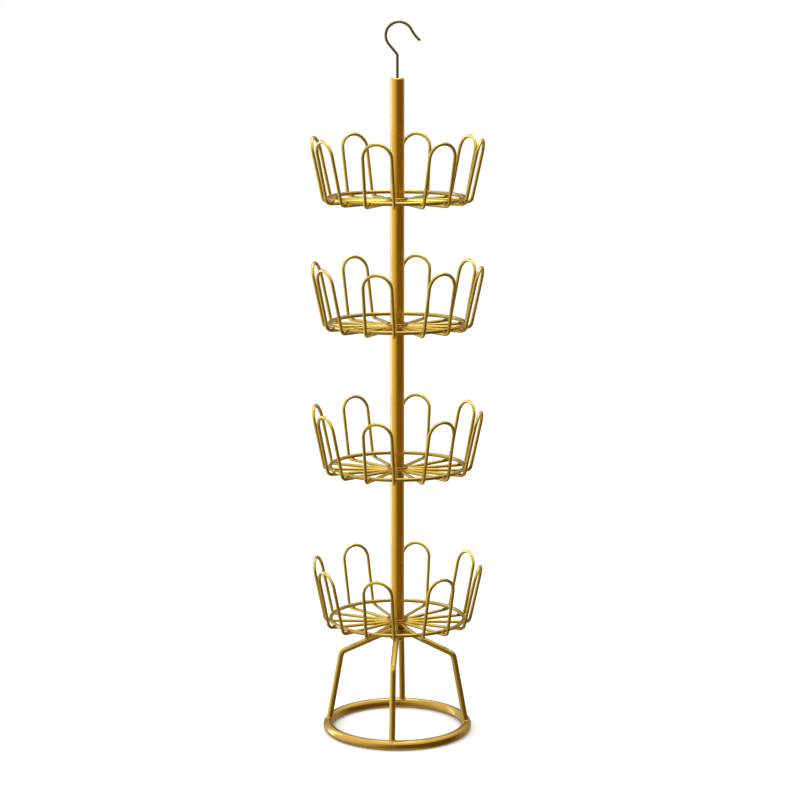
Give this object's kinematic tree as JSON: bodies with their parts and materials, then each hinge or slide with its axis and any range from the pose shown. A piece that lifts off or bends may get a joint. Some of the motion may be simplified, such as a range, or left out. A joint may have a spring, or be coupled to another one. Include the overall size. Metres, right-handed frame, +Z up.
{
  "type": "rotating shoe tower",
  "caption": "Free-standing revolving shoe tower: petal-edged wire tiers on a slim pole with a swivel hook on top, turning on a ring base with bent rod legs.",
  "frame": {"origin": "on the floor at the middle of the base ring, on the pole's axis", "axes": "+Z up the pole; +X through the middle of a petal of every tier at rest"},
  "size_m": [0.31, 0.31, 1.28],
  "materials": {
    "gold_paint": "satin gold lacquer",
    "zinc_steel": "zinc plated",
    "black_nylon": "moulded"
  },
  "bodies": {
    "base": {"base_ring": "gold_paint", "base_leg_1": "gold_paint", "base_leg_2": "gold_paint", "base_leg_3": "gold_paint", "base_leg_4": "gold_paint", "base_hub": "gold_paint", "upper_bush": "black_nylon", "lower_bush": "black_nylon", "thrust_washer": "black_nylon"},
    "column": {"pole_section_1": "gold_paint", "pole_section_2": "gold_paint", "pole_section_3": "gold_paint", "pole_section_4": "gold_paint", "tier_1_hub": "gold_paint", "tier_1_ring": "gold_paint", "tier_1_petal_1": "gold_paint", "tier_1_petal_2": "gold_paint", "tier_1_petal_3": "gold_paint", "tier_1_petal_4": "gold_paint", "tier_1_petal_5": "gold_paint", "tier_1_petal_6": "gold_paint", "tier_1_petal_7": "gold_paint", "tier_1_petal_8": "gold_paint", "tier_2_hub": "gold_paint", "tier_2_ring": "gold_paint", "tier_2_petal_1": "gold_paint", "tier_2_petal_2": "gold_paint", "tier_2_petal_3": "gold_paint", "tier_2_petal_4": "gold_paint", "tier_2_petal_5": "gold_paint", "tier_2_petal_6": "gold_paint", "tier_2_petal_7": "gold_paint", "tier_2_petal_8": "gold_paint", "tier_3_hub": "gold_paint", "tier_3_ring": "gold_paint", "tier_3_petal_1": "gold_paint", "tier_3_petal_2": "gold_paint", "tier_3_petal_3": "gold_paint", "tier_3_petal_4": "gold_paint", "tier_3_petal_5": "gold_paint", "tier_3_petal_6": "gold_paint", "tier_3_petal_7": "gold_paint", "tier_3_petal_8": "gold_paint", "tier_4_hub": "gold_paint", "tier_4_ring": "gold_paint", "tier_4_petal_1": "gold_paint", "tier_4_petal_2": "gold_paint", "tier_4_petal_3": "gold_paint", "tier_4_petal_4": "gold_paint", "tier_4_petal_5": "gold_paint", "tier_4_petal_6": "gold_paint", "tier_4_petal_7": "gold_paint", "tier_4_petal_8": "gold_paint", "top_cap": "gold_paint", "spindle": "zinc_steel", "lock_nut": "zinc_steel", "pole_inserts": "zinc_steel", "joiner_studs": "zinc_steel"},
    "hook": {"hook": "gold_paint", "hook_nut": "zinc_steel"}
  },
  "joints": [
    {"name": "column_spin", "type": "hinge", "parent": "base", "child": "column", "pos_m": [0, 0, 0.19], "axis": [0, 0, 1], "continuous": true},
    {"name": "hook_swivel", "type": "hinge", "parent": "column", "child": "hook", "pos_m": [0, 0, 1.18], "axis": [0, 0, 1], "continuous": true}
  ]
}
